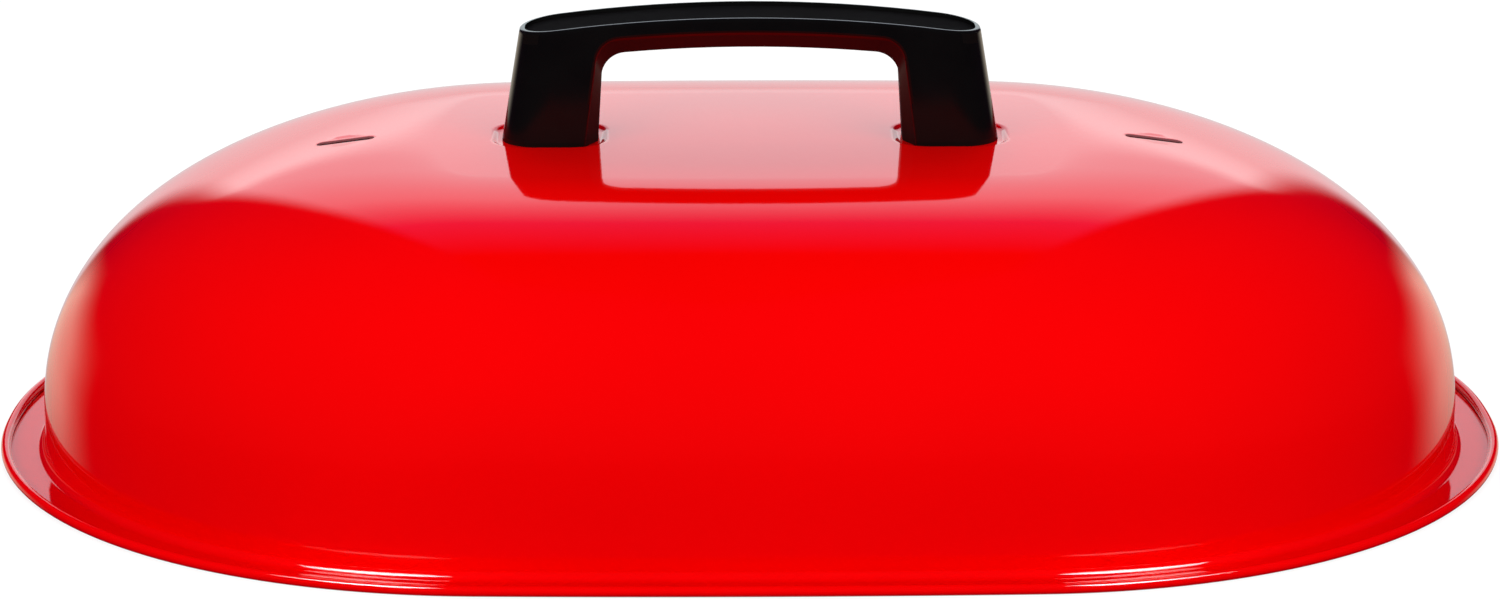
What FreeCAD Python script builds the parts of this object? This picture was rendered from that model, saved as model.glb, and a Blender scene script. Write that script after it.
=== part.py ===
import FreeCAD, Part
import math
import os
import Sketcher
from FreeCAD import Placement, Rotation, Vector

# Lift-off lid of an oval roaster oven: a drawn and enamelled steel shell, a moulded bridge handle
# and the fixings that hold it. Millimetres. +X runs along the lid, the front faces -Y and +Z is up.
# The origin is the middle of the lid in the plane that the rim rests on.

DIMENSIONS = (
    ("lid_length", 520.0, "over the rolled bead, along X"),
    ("lid_width", 364.0, "over the rolled bead, along Y"),
    ("end_radius", 300.0, "plan radius of the bead across each end"),
    ("end_angle", 2.2, "half angle of that arc, degrees; the corners fill in between the arcs"),
    ("side_radius", 3000.0, "plan radius of the bead along front and back"),
    ("sheet_gauge", 0.7, "steel with its enamel"),
    ("bead_diameter", 3.5, "rolled edge, outside"),
    ("bead_gap", 0.35, "between the end of the roll and the flange"),
    ("rim_width", 15.2, "from the outside of the bead to the wall"),
    ("rim_bend", 3.0, "radius between flange and wall, outside"),
    ("skirt_height", 9.0, "top of the upright skirt above the table"),
    ("shell_height", 104.0, "top of the shell above the table"),
    ("crown_length", 219.0, "level part of the top, along X"),
    ("crown_width", 125.0, "level part of the top, along Y"),
    ("crown_end_radius", 160.0, "plan radius of the level part across its ends"),
    ("crown_end_angle", 18.0, "half angle of that arc, degrees"),
    ("crown_side_radius", 1200.0, "plan radius of the level part along its sides"),
    ("end_fullness", 2.46, "exponent of the dome's curve to its ends, 2 for an ellipse"),
    ("side_fullness", 3.1, "exponent of the dome's curve to front and back, 2 for an ellipse"),
    ("seat_depth", 1.0, "pressed recess under each handle foot"),
    ("seat_margin", 1.0, "level floor of the recess beyond the foot"),
    ("seat_slope", 2.8, "width of the soft edge of the recess"),
    ("seat_corner", 9.0, "plan radius of the recess floor"),
    ("vent_length", 19.5, "steam slot, along X"),
    ("vent_width", 4.2, "steam slot, along Y"),
    ("vent_spacing", 279.0, "between the middles of the two slots"),
    ("handle_depth", 30.4, "along Y"),
    ("handle_height", 44.8, "above the feet, at the middle"),
    ("handle_top_length", 157.8, "over the top corners"),
    ("arch_radius", 518.0, "side view radius of the top"),
    ("foot_spacing", 137.8, "between the middles of the feet"),
    ("foot_length", 33.0, "along X"),
    ("grip_thickness", 11.9, "at the middle of the arch"),
    ("grip_side", 4.6, "upright side of the grip above its bevel"),
    ("opening_draft", 3.5, "lean of the inner sides of the legs, degrees"),
    ("opening_corner", 8.7, "radius between leg and grip"),
    ("bevel_depth", 10.0, "along Y, on the inner edges of the opening"),
    ("bevel_at_foot", 4.8, "along X, where the bevel meets the shell"),
    ("bevel_draft", 8.0, "lean of the bevel's outer edge, degrees"),
    ("bevel_corner", 9.0, "radius of the bevel's outer edge"),
    ("bevel_edge", 1.0, "rounding between the sides of the handle and its bevels"),
    ("end_round", 13.5, "plan radius of the outer ends"),
    ("top_edge", 1.3, "radius round the top of the handle"),
    ("panel_margin", 1.8, "rim round the sunk panel of the top"),
    ("panel_depth", 1.3, "below the rim"),
    ("core_length", 21.0, "hollow inside each foot, along X"),
    ("core_width", 20.0, "hollow inside each foot, along Y"),
    ("core_depth", 20.0, "hollow inside each foot, upwards"),
    ("core_corner", 5.0, "plan radius of the hollow"),
    ("boss_diameter", 11.5, "round the insert"),
    ("insert_diameter", 7.6, "over the collars"),
    ("insert_waist", 6.6, "in the groove that the moulding grips"),
    ("insert_length", 12.0, "brass insert"),
    ("insert_collar", 4.0, "length of each collar"),
    ("insert_recess", 0.3, "insert above the foot's face"),
    ("screw_diameter", 5.0, "shank"),
    ("screw_length", 11.0, "under the head"),
    ("screw_relief", 2.0, "bore beyond the end of the screw"),
    ("head_diameter", 10.0, "pan head"),
    ("head_height", 3.4, "pan head"),
    ("head_crown", 1.4, "rounding of the pan head"),
    ("drive_length", 5.6, "cross recess, over its wings"),
    ("drive_width", 1.1, "cross recess, each wing"),
    ("drive_depth", 1.8, "cross recess"),
    ("hole_clearance", 0.5, "screw hole over the shank"),
    ("washer_clearance", 0.3, "washer bores over the shank"),
    ("moulded_fit", 0.05, "insert in the moulding, and screw in the insert"),
    ("washer_diameter", 15.0, "flat washer"),
    ("washer_thickness", 1.0, "flat washer"),
    ("spring_diameter", 9.2, "split washer"),
    ("spring_thickness", 1.4, "split washer"),
    ("spring_split", 1.0, "width of its cut"),
)

# The dome is lofted through level ovals. Each angle places one of them on the dome's side curve,
# from the level crown at 0 degrees to the upright skirt at the last one.
SECTION_ANGLES = (0, 4, 10, 18, 28, 40, 52, 64, 74, 82, 90)

# Level outlines through which the soft edge of a handle seat is lofted.
SEAT_STEPS = 6

# How near two lengths are when they count as the same.
NEAR = 0.01


def make_sheet(doc):
    """The spreadsheet with one named cell for each driving dimension."""
    sheet = doc.addObject("Spreadsheet::Sheet", "Dimensions")
    for row, (alias, size, meaning) in enumerate(DIMENSIONS, start=1):
        sheet.set(f"A{row}", alias)
        sheet.set(f"B{row}", str(size))
        sheet.set(f"C{row}", meaning)
        sheet.setAlias(f"B{row}", alias)
    doc.recompute()
    return sheet


class Sizes:
    """Reads the sheet: size.lid_length is a cell, size("a / 2") is a formula of cells."""

    def __init__(self, sheet):
        self.sheet = sheet

    def __getattr__(self, alias):
        return float(self.sheet.get(alias))

    def __call__(self, formula):
        return float(self.sheet.evalExpression(formula))


# ---------------------------------------------------------------- lid shell


def oval_quadrant(half_length, half_width, end_radius, end_angle, side_radius):
    """Three tangent arcs from (half_length, 0) to (0, half_width), each as start, middle and end."""
    end_centre = Vector(half_length - end_radius, 0, 0)
    side_centre = Vector(0, half_width - side_radius, 0)
    end_turn = math.radians(end_angle)
    outwards = Vector(math.cos(end_turn), math.sin(end_turn), 0)
    corner_start = end_centre + outwards * end_radius
    from_side = corner_start - side_centre
    shortfall = side_radius ** 2 - from_side.dot(from_side)
    corner_radius = shortfall / (2 * (side_radius - outwards.dot(from_side)))
    corner_centre = corner_start - outwards * corner_radius
    to_corner = corner_centre - side_centre
    side_turn = math.atan2(to_corner.y, to_corner.x)
    arcs = []
    for centre, radius, start, stop in (
        (end_centre, end_radius, 0.0, end_turn),
        (corner_centre, corner_radius, end_turn, side_turn),
        (side_centre, side_radius, side_turn, math.pi / 2),
    ):
        turn = (start, (start + stop) / 2, stop)
        arcs.append([centre + Vector(math.cos(t), math.sin(t), 0) * radius for t in turn])
    return arcs


def oval_wire(half_length, half_width, end_radius, end_angle, side_radius, height):
    """Closed oval of twelve tangent arcs at a height, anticlockwise from the +X end."""
    quadrant = oval_quadrant(half_length, half_width, end_radius, end_angle, side_radius)
    backwards = [arc[::-1] for arc in quadrant[::-1]]
    quarters = ((quadrant, 1, 1), (backwards, -1, 1), (quadrant, -1, -1), (backwards, 1, -1))
    edges = []
    for arcs, side_x, side_y in quarters:
        for arc in arcs:
            points = [Vector(p.x * side_x, p.y * side_y, height) for p in arc]
            edges.append(Part.Arc(*points).toShape())
    return Part.Wire(edges)


def rim_oval(size, inset):
    """Half length, half width, end radius, end angle and side radius of the outline moved inwards."""
    return (
        size.lid_length / 2 - inset,
        size.lid_width / 2 - inset,
        size.end_radius - inset,
        size.end_angle,
        size.side_radius - inset,
    )


def crown_oval(size):
    """The same measures for the level part of the top."""
    return (
        size.crown_length / 2,
        size.crown_width / 2,
        size.crown_end_radius,
        size.crown_end_angle,
        size.crown_side_radius,
    )


def dome_share(up, fullness):
    """How far the dome has come out from crown to skirt, as a share, at a share of its height."""
    return math.sqrt(1 - up ** fullness)


def dome_solid(size, gauge):
    """The dome above its skirt, filled, with every face moved in by a gauge."""
    crown = crown_oval(size)
    skirt = rim_oval(size, size.rim_width + gauge)
    fall = size.shell_height - gauge - size.skirt_height
    sections = []
    for degrees in SECTION_ANGLES:
        level = math.cos(math.radians(degrees)) if degrees < SECTION_ANGLES[-1] else 0.0
        up = level ** (2 / size.end_fullness)
        endwards = dome_share(up, size.end_fullness)
        sidewards = dome_share(up, size.side_fullness)
        between = (endwards + sidewards) / 2
        shares = (endwards, sidewards, endwards, between, sidewards)
        oval = [inner + (outer - inner) * share for inner, outer, share in zip(crown, skirt, shares)]
        sections.append(oval_wire(*oval, size.skirt_height + fall * up))
    return Part.makeLoft(sections[::-1], True, False)


def rim_solid(size):
    """Skirt, bend, flange and rolled bead: one sheet profile swept round the lid."""
    gauge = size.sheet_gauge
    bend_in = size.rim_bend
    bend_out = size.rim_bend + gauge
    roll_out = size.bead_diameter / 2
    roll_in = roll_out - gauge
    edge = size.lid_length / 2
    wall = edge - size.rim_width
    bend = Vector(wall + bend_in, 0, gauge + bend_in)
    roll = Vector(edge - roll_out, 0, roll_out)

    def around(centre, radius, degrees):
        angle = math.radians(degrees)
        return centre + Vector(math.cos(angle), 0, math.sin(angle)) * radius

    def arc(centre, radius, start, stop):
        points = [around(centre, radius, t) for t in (start, (start + stop) / 2, stop)]
        return Part.Arc(*points).toShape()

    def line(start, stop):
        return Part.LineSegment(start, stop).toShape()

    skirt_out = Vector(wall, 0, size.skirt_height)
    skirt_in = Vector(wall - gauge, 0, size.skirt_height)
    roll_end = 180 + math.degrees(math.asin((roll_out - gauge - size.bead_gap) / roll_out))
    profile = Part.Wire([
        line(skirt_out, around(bend, bend_in, 180)),
        arc(bend, bend_in, 180, 270),
        line(around(bend, bend_in, 270), around(roll, roll_in, -90)),
        arc(roll, roll_in, -90, roll_end),
        line(around(roll, roll_in, roll_end), around(roll, roll_out, roll_end)),
        arc(roll, roll_out, roll_end, -90),
        line(around(roll, roll_out, -90), around(bend, bend_out, 270)),
        arc(bend, bend_out, 270, 180),
        line(around(bend, bend_out, 180), skirt_in),
        line(skirt_in, skirt_out),
    ])
    path = oval_wire(*rim_oval(size, size.rim_width), 0)
    return path.makePipeShell([profile], True, True)


def rounded_box_wire(half_x, half_y, corner, height):
    """Rounded rectangle at a height about the origin."""
    bend = corner * (1 - math.sqrt(0.5))
    corners = (
        (Vector(half_x, half_y - corner, height), Vector(half_x - bend, half_y - bend, height),
         Vector(half_x - corner, half_y, height)),
        (Vector(corner - half_x, half_y, height), Vector(bend - half_x, half_y - bend, height),
         Vector(-half_x, half_y - corner, height)),
        (Vector(-half_x, corner - half_y, height), Vector(bend - half_x, bend - half_y, height),
         Vector(corner - half_x, -half_y, height)),
        (Vector(half_x - corner, -half_y, height), Vector(half_x - bend, bend - half_y, height),
         Vector(half_x, corner - half_y, height)),
    )
    edges = []
    for place, arc in enumerate(corners):
        following = corners[(place + 1) % 4]
        edges.append(Part.Arc(*arc).toShape())
        edges.append(Part.LineSegment(arc[2], following[0]).toShape())
    return Part.Wire(edges)


def seat_solid(size, gauge):
    """The space that one pressed handle seat takes out of the crown, lowered by a gauge."""
    wires = []
    for step in range(SEAT_STEPS + 1):
        share = step / SEAT_STEPS
        margin = size.seat_margin + size.seat_slope * share
        rise = size.seat_depth * (1 - math.cos(math.pi * share)) / 2
        height = size.shell_height - size.seat_depth + rise - gauge
        half_x = size.foot_length / 2 + margin
        half_y = size.handle_depth / 2 + margin
        wires.append(rounded_box_wire(half_x, half_y, size.seat_corner + margin, height))
    return Part.makeLoft(wires, True, False)


def vent_cutter(size):
    """Upright stadium prism that makes one steam slot."""
    radius = size.vent_width / 2
    straight = size.vent_length / 2 - radius
    a, b = Vector(straight, -radius, 0), Vector(straight, radius, 0)
    c, d = Vector(-straight, radius, 0), Vector(-straight, -radius, 0)
    outline = Part.Wire([
        Part.Arc(a, Vector(straight + radius, 0, 0), b).toShape(),
        Part.LineSegment(b, c).toShape(),
        Part.Arc(c, Vector(-straight - radius, 0, 0), d).toShape(),
        Part.LineSegment(d, a).toShape(),
    ])
    prism = Part.Face(outline).extrude(Vector(0, 0, size.shell_height))
    prism.translate(Vector(0, 0, size.skirt_height))
    return prism


def lid_shell(doc, size):
    """Drawn shell: dome, skirt, flange and rolled bead in one sheet, with seats, slots and holes."""
    filled = dome_solid(size, 0.0)
    hollow = dome_solid(size, size.sheet_gauge)
    hole_radius = (size.screw_diameter + size.hole_clearance) / 2
    for side in (-1, 1):
        foot = Vector(side * size.foot_spacing / 2, 0, 0)
        filled = filled.cut(seat_solid(size, 0.0).translated(foot))
        hollow = hollow.cut(seat_solid(size, size.sheet_gauge).translated(foot))
    shell = filled.cut(hollow)
    for side in (-1, 1):
        foot = Vector(side * size.foot_spacing / 2, 0, 0)
        slot = Vector(side * size.vent_spacing / 2, 0, 0)
        shell = shell.cut(vent_cutter(size).translated(slot))
        shell = shell.cut(Part.makeCylinder(hole_radius, size.shell_height, foot))
    shell = shell.fuse(rim_solid(size)).removeSplitter()

    feature = doc.addObject("Part::Feature", "lid_shell")
    feature.Label = "lid_shell"
    feature.Shape = shell.Solids[0] if len(shell.Solids) == 1 else shell
    feature.Placement = Placement()
    return feature


# ---------------------------------------------------------------- sketch helpers


def make_body(doc, label, placement):
    """An empty body with its label and its place in the lid."""
    body = doc.addObject("PartDesign::Body", label)
    body.Label = label
    body.Placement = placement
    return body


def make_sketch(body, name, plane, offset=None):
    """A sketch on one of the body's own origin planes, moved along the plane's normal."""
    sketch = body.newObject("Sketcher::SketchObject", name)
    support = next(item for item in body.Origin.OriginFeatures if item.Role == plane)
    sketch.AttachmentSupport = [(support, "")]
    sketch.MapMode = "FlatFace"
    if offset:
        sketch.setExpression("AttachmentOffset.Base.z", offset)
    return sketch


def bind(sketch, constraint, name, formula):
    """Add a constraint whose value follows a formula of the sheet's cells."""
    index = sketch.addConstraint(constraint)
    sketch.renameConstraint(index, name)
    sketch.setExpression("Constraints." + name, formula)


def pin(sketch, size, element, end, name, across, up):
    """Fix one end of a sketch element at two formulas of the sheet's cells."""
    for kind, axis, formula in (("DistanceX", "x", across), ("DistanceY", "y", up)):
        limit = Sketcher.Constraint(kind, -1, 1, element, end, size(formula))
        bind(sketch, limit, f"{name}_{axis}", formula)


def polygon(sketch, size, corners):
    """Closed polygon whose corners are pairs of formulas of the sheet's cells."""
    points = [Vector(size(across), size(up), 0) for across, up in corners]
    count = len(points)
    for place in range(count):
        sketch.addGeometry(Part.LineSegment(points[place], points[(place + 1) % count]))
    for place, (across, up) in enumerate(corners):
        sketch.addConstraint(Sketcher.Constraint("Coincident", (place - 1) % count, 2, place, 1))
        pin(sketch, size, place, 1, f"corner{place}", across, up)


def ring(sketch, size, middle, radius):
    """Circle on the sketch's horizontal axis."""
    centre = Vector(size(middle), 0, 0)
    circle = sketch.addGeometry(Part.Circle(centre, Vector(0, 0, 1), size(radius)))
    pin(sketch, size, circle, 3, f"middle{circle}", middle, "0")
    bind(sketch, Sketcher.Constraint("Radius", circle, size(radius)), f"radius{circle}", radius)


def rounded_rectangle(sketch, size, middle, half_x, half_y, corner):
    """Rectangle with round corners, its middle on the sketch's horizontal axis."""
    centre, reach_x, reach_y = size(middle), size(half_x), size(half_y)
    radius = size(corner)
    turns = ((1, 1, 0), (-1, 1, 90), (-1, -1, 180), (1, -1, 270))
    for side_x, side_y, degrees in turns:
        start = math.radians(degrees)
        hub = Vector(centre + side_x * (reach_x - radius), side_y * (reach_y - radius), 0)
        circle = Part.Circle(hub, Vector(0, 0, 1), radius)
        arc = sketch.addGeometry(Part.ArcOfCircle(circle, start, start + math.pi / 2))
        across = f"({middle}) + {side_x} * (({half_x}) - ({corner}))"
        up = f"{side_y} * (({half_y}) - ({corner}))"
        pin(sketch, size, arc, 3, f"hub{arc}", across, up)
        bind(sketch, Sketcher.Constraint("Radius", arc, radius), f"corner{arc}", corner)
    for first in range(4):
        following = (first + 1) % 4
        start = sketch.getPoint(first, 2)
        stop = sketch.getPoint(following, 1)
        side = sketch.addGeometry(Part.LineSegment(start, stop))
        sketch.addConstraint(Sketcher.Constraint("Tangent", first, 2, side, 1))
        sketch.addConstraint(Sketcher.Constraint("Tangent", side, 2, following, 1))


def turned_body(doc, size, label, placement, corners):
    """A body turned about its own Z axis from a half section."""
    body = make_body(doc, label, placement)
    sketch = make_sketch(body, label + "_section", "XZ_Plane")
    polygon(sketch, size, corners)
    turn = body.newObject("PartDesign::Revolution", label + "_turn")
    turn.Profile = sketch
    turn.ReferenceAxis = (sketch, ["V_Axis"])
    turn.Angle = 360
    sketch.Visibility = False
    doc.recompute()
    return body


def edges_where(shape, test):
    """Names of a shape's edges that pass a test."""
    return [f"Edge{place}" for place, edge in enumerate(shape.Edges, start=1) if test(edge)]


def fillet(doc, body, name, base, radius, test):
    """Round the edges of a feature that pass a test, by a formula of the sheet's cells."""
    doc.recompute()
    rounding = body.newObject("PartDesign::Fillet", name)
    rounding.Base = (base, edges_where(base.Shape, test))
    rounding.setExpression("Radius", radius)
    doc.recompute()
    return rounding


# ---------------------------------------------------------------- handle

FOOT_OUT = "(Dimensions.foot_spacing + Dimensions.foot_length) / 2"
FOOT_IN = "(Dimensions.foot_spacing - Dimensions.foot_length) / 2"
TOP_OUT = "Dimensions.handle_top_length / 2"
TOP_CORNER = (
    "Dimensions.handle_height - Dimensions.arch_radius"
    " + sqrt(Dimensions.arch_radius ^ 2 - Dimensions.handle_top_length ^ 2 / 4)"
)
BELOW_FEET = 1.0


def bridge_outline(body, size):
    """Side view of the handle without its opening: two leaning ends under one long arch."""
    sketch = make_sketch(body, "bridge_outline", "XZ_Plane")
    foot, top, corner = size(FOOT_OUT), size(TOP_OUT), size(TOP_CORNER)
    crest = Vector(0, size.handle_height, 0)
    sketch.addGeometry(Part.LineSegment(Vector(-foot, 0, 0), Vector(foot, 0, 0)))
    sketch.addGeometry(Part.LineSegment(Vector(foot, 0, 0), Vector(top, corner, 0)))
    sketch.addGeometry(Part.Arc(Vector(top, corner, 0), crest, Vector(-top, corner, 0)))
    sketch.addGeometry(Part.LineSegment(Vector(-top, corner, 0), Vector(-foot, 0, 0)))
    # An arc of a sketch runs anticlockwise, so the arch starts at the right end.
    for first, first_end, second, second_end in ((0, 2, 1, 1), (1, 2, 2, 1), (2, 2, 3, 1), (3, 2, 0, 1)):
        sketch.addConstraint(Sketcher.Constraint("Coincident", first, first_end, second, second_end))
    pin(sketch, size, 0, 1, "left_foot", "-" + FOOT_OUT, "0")
    pin(sketch, size, 1, 1, "right_foot", FOOT_OUT, "0")
    pin(sketch, size, 2, 1, "right_corner", TOP_OUT, TOP_CORNER)
    pin(sketch, size, 3, 1, "left_corner", "-" + TOP_OUT, TOP_CORNER)
    bind(sketch, Sketcher.Constraint("Radius", 2, size.arch_radius), "arch", "Dimensions.arch_radius")
    return sketch


def opening_outline(body, size, name, offset, half_base, draft, depth, corner):
    """Opening under the grip: leaning sides, rounded corners and an arch along the grip's own."""
    sketch = make_sketch(body, name, "XZ_Plane", offset)
    lean = math.radians(size(draft))
    base = Vector(size(half_base), -BELOW_FEET, 0)
    arch_centre = Vector(0, size.handle_height - size.arch_radius, 0)
    arch_radius = size.arch_radius - size(depth)
    radius = size(corner)
    side = Vector(-math.sin(lean), math.cos(lean), 0)
    inward = Vector(-side.y, side.x, 0)
    start = base + inward * radius - arch_centre
    run = -start.dot(side) + math.sqrt(start.dot(side) ** 2 - start.dot(start) + (arch_radius - radius) ** 2)
    corner_centre = base + inward * radius + side * run
    low = base + side * run
    outwards = (corner_centre - arch_centre).normalize()
    high = arch_centre + outwards * arch_radius
    middle = corner_centre + (outwards - inward).normalize() * radius

    def mirror(point):
        return Vector(-point.x, point.y, 0)

    sketch.addGeometry(Part.LineSegment(mirror(base), base))
    sketch.addGeometry(Part.LineSegment(base, low))
    sketch.addGeometry(Part.Arc(low, middle, high))
    sketch.addGeometry(Part.Arc(high, arch_centre + Vector(0, arch_radius, 0), mirror(high)))
    sketch.addGeometry(Part.Arc(mirror(high), mirror(middle), mirror(low)))
    sketch.addGeometry(Part.LineSegment(mirror(low), mirror(base)))
    for first, second in ((0, 1), (5, 0)):
        sketch.addConstraint(Sketcher.Constraint("Coincident", first, 2, second, 1))
    for first, second in ((1, 2), (2, 3), (3, 4), (4, 5)):
        sketch.addConstraint(Sketcher.Constraint("Tangent", first, 2, second, 1))
    below = f"-{BELOW_FEET}"
    pin(sketch, size, 1, 1, "right_base", half_base, below)
    pin(sketch, size, 0, 1, "left_base", "-(" + half_base + ")", below)
    lean_right = f"(90 + {draft}) * 1 deg"
    lean_left = f"(-90 - {draft}) * 1 deg"
    bind(sketch, Sketcher.Constraint("Angle", 1, math.pi / 2 + lean), "lean_right", lean_right)
    bind(sketch, Sketcher.Constraint("Angle", 5, -math.pi / 2 - lean), "lean_left", lean_left)
    bind(sketch, Sketcher.Constraint("Radius", 2, radius), "corner_right", corner)
    bind(sketch, Sketcher.Constraint("Radius", 4, radius), "corner_left", corner)
    rise = "Dimensions.handle_height - Dimensions.arch_radius"
    pin(sketch, size, 3, 3, "arch_centre", "0", rise)
    return sketch


def handle(doc, size, placement):
    """Moulded bridge handle with a bevelled opening, a sunk top panel and cored feet."""
    body = make_body(doc, "handle", placement)
    depth = "Dimensions.handle_depth"

    bridge = body.newObject("PartDesign::Pad", "bridge")
    bridge.Profile = bridge_outline(body, size)
    bridge.SideType = "Symmetric"
    bridge.setExpression("Length", depth)
    doc.recompute()

    mid_height = size.handle_height / 2
    ends = fillet(
        doc, body, "rounded_ends", bridge, "Dimensions.end_round",
        lambda edge: edge.BoundBox.ZLength > mid_height,
    )
    fillet(
        doc, body, "top_edge", ends, "Dimensions.top_edge",
        lambda edge: edge.BoundBox.ZMin > mid_height,
    )

    inner = opening_outline(
        body, size, "opening_outline", None, FOOT_IN, "Dimensions.opening_draft",
        "Dimensions.grip_thickness", "Dimensions.opening_corner",
    )
    opening = body.newObject("PartDesign::Pocket", "opening")
    opening.Profile = inner
    opening.Type = "ThroughAll"
    opening.SideType = "Symmetric"
    doc.recompute()

    mouth_base = FOOT_IN + " + Dimensions.bevel_at_foot"
    last = opening
    for label, sign in (("front", ""), ("back", "-")):
        mouth = opening_outline(
            body, size, label + "_mouth", f"{sign}{depth} / 2", mouth_base, "Dimensions.bevel_draft",
            "Dimensions.grip_side", "Dimensions.bevel_corner",
        )
        throat = opening_outline(
            body, size, label + "_throat", f"{sign}({depth} / 2 - Dimensions.bevel_depth)", FOOT_IN,
            "Dimensions.opening_draft", "Dimensions.grip_thickness", "Dimensions.opening_corner",
        )
        doc.recompute()
        bevel = body.newObject("PartDesign::SubtractiveLoft", label + "_bevel")
        bevel.Profile = mouth
        bevel.Sections = [throat]
        bevel.Ruled = True
        doc.recompute()
        last = bevel

    soft = fillet(
        doc, body, "bevel_edges", last, "Dimensions.bevel_edge",
        lambda edge: is_mouth_edge(edge.BoundBox, size, size(mouth_base)),
    )
    panel_recess(doc, body, size, soft)
    for label, side in (("left", "-"), ("right", "")):
        foot_core(doc, body, size, label, side + "Dimensions.foot_spacing / 2")
    return body


def is_mouth_edge(box, size, half_base):
    """Whether an edge's box lies on the rim of a bevel, in the front or back face of the handle."""
    on_a_face = box.YLength < NEAR and abs(abs(box.YMin) - size.handle_depth / 2) < NEAR
    within_legs = max(-box.XMin, box.XMax) < half_base + NEAR
    under_top = box.ZMax < size.handle_height - size.grip_side / 2
    return on_a_face and within_legs and under_top and box.ZLength > NEAR


def panel_recess(doc, body, size, base):
    """Shallow sunk panel that follows the arch of the top inside a narrow rim."""
    above = "Dimensions.handle_height + Dimensions.panel_depth"
    sketch = make_sketch(body, "panel_outline", "XY_Plane", above)
    rounded_rectangle(
        sketch, size, "0", TOP_OUT + " - Dimensions.panel_margin",
        "Dimensions.handle_depth / 2 - Dimensions.panel_margin",
        "Dimensions.end_round - Dimensions.panel_margin",
    )
    doc.recompute()
    arch = next(
        f"Face{place}" for place, face in enumerate(base.Shape.Faces, start=1)
        if isinstance(face.Surface, Part.Cylinder)
        and abs(face.Surface.Radius - size.arch_radius) < NEAR
        and face.BoundBox.ZMax > size.handle_height - NEAR
    )
    recess = body.newObject("PartDesign::Pocket", "panel_recess")
    recess.Profile = sketch
    recess.Type = "UpToFace"
    recess.UpToFace = (base, [arch])
    recess.setExpression("Offset", "Dimensions.panel_depth")
    doc.recompute()


def foot_core(doc, body, size, label, middle):
    """Hollow in a foot with a standing boss, and the blind bore that holds the insert."""
    sketch = make_sketch(body, label + "_core_outline", "XY_Plane")
    rounded_rectangle(
        sketch, size, middle, "Dimensions.core_length / 2", "Dimensions.core_width / 2",
        "Dimensions.core_corner",
    )
    ring(sketch, size, middle, "Dimensions.boss_diameter / 2")
    core = body.newObject("PartDesign::Pocket", label + "_core")
    core.Profile = sketch
    core.Reversed = True
    core.setExpression("Length", "Dimensions.core_depth")
    doc.recompute()

    sketch = make_sketch(body, label + "_bore_outline", "XY_Plane")
    ring(sketch, size, middle, "Dimensions.insert_diameter / 2 + Dimensions.moulded_fit")
    bore = body.newObject("PartDesign::Pocket", label + "_bore")
    bore.Profile = sketch
    bore.Reversed = True
    bore.setExpression(
        "Length", "Dimensions.insert_recess + Dimensions.insert_length + Dimensions.screw_relief"
    )
    doc.recompute()


# ---------------------------------------------------------------- fixings


def insert(doc, size, label, placement):
    """Brass insert with two collars and a waist, open at the bottom."""
    collar, waist = "Dimensions.insert_diameter / 2", "Dimensions.insert_waist / 2"
    bore = "Dimensions.screw_diameter / 2 + Dimensions.moulded_fit"
    length, step = "Dimensions.insert_length", "Dimensions.insert_collar"
    return turned_body(doc, size, label, placement, (
        (bore, "0"), (collar, "0"), (collar, step), (waist, step),
        (waist, f"{length} - {step}"), (collar, f"{length} - {step}"), (collar, length), (bore, length),
    ))


def screw(doc, size, label, placement):
    """Pan head screw, head down, with a cross recess."""
    shank, head = "Dimensions.screw_diameter / 2", "Dimensions.head_diameter / 2"
    deep, crown = "-Dimensions.head_height", "Dimensions.head_crown"
    body = turned_body(doc, size, label, placement, (
        ("0", deep), (f"{head} - {crown}", deep), (head, f"{deep} + {crown}"), (head, "0"),
        (shank, "0"), (shank, "Dimensions.screw_length"), ("0", "Dimensions.screw_length"),
    ))
    wings = (("wing_x", "drive_length", "drive_width"), ("wing_y", "drive_width", "drive_length"))
    for name, along, across in wings:
        sketch = make_sketch(body, f"{label}_{name}", "XY_Plane", deep)
        half_x, half_y = f"Dimensions.{along} / 2", f"Dimensions.{across} / 2"
        polygon(sketch, size, (
            ("-" + half_x, "-" + half_y), (half_x, "-" + half_y), (half_x, half_y), ("-" + half_x, half_y),
        ))
        slot = body.newObject("PartDesign::Pocket", f"{label}_{name}_cut")
        slot.Profile = sketch
        slot.Reversed = True
        slot.setExpression("Length", "Dimensions.drive_depth")
        doc.recompute()
    return body


def flat_washer(doc, size, label, placement):
    """Flat washer that spreads the screw's pull over the sheet."""
    bore = "(Dimensions.screw_diameter + Dimensions.washer_clearance) / 2"
    outside, thick = "Dimensions.washer_diameter / 2", "Dimensions.washer_thickness"
    return turned_body(doc, size, label, placement, (
        (bore, "0"), (outside, "0"), (outside, thick), (bore, thick),
    ))


def lock_washer(doc, size, label, placement):
    """Split spring washer, pressed flat, with its cut along -Y."""
    bore = "(Dimensions.screw_diameter + Dimensions.washer_clearance) / 2"
    outside, thick = "Dimensions.spring_diameter / 2", "Dimensions.spring_thickness"
    body = turned_body(doc, size, label, placement, (
        (bore, "0"), (outside, "0"), (outside, thick), (bore, thick),
    ))
    sketch = make_sketch(body, label + "_split", "XY_Plane")
    half, end = "Dimensions.spring_split / 2", "-Dimensions.spring_diameter"
    polygon(sketch, size, (("-" + half, end), (half, end), (half, "0"), ("-" + half, "0")))
    split = body.newObject("PartDesign::Pocket", label + "_cut")
    split.Profile = sketch
    split.Type = "ThroughAll"
    split.SideType = "Symmetric"
    doc.recompute()
    return body


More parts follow.
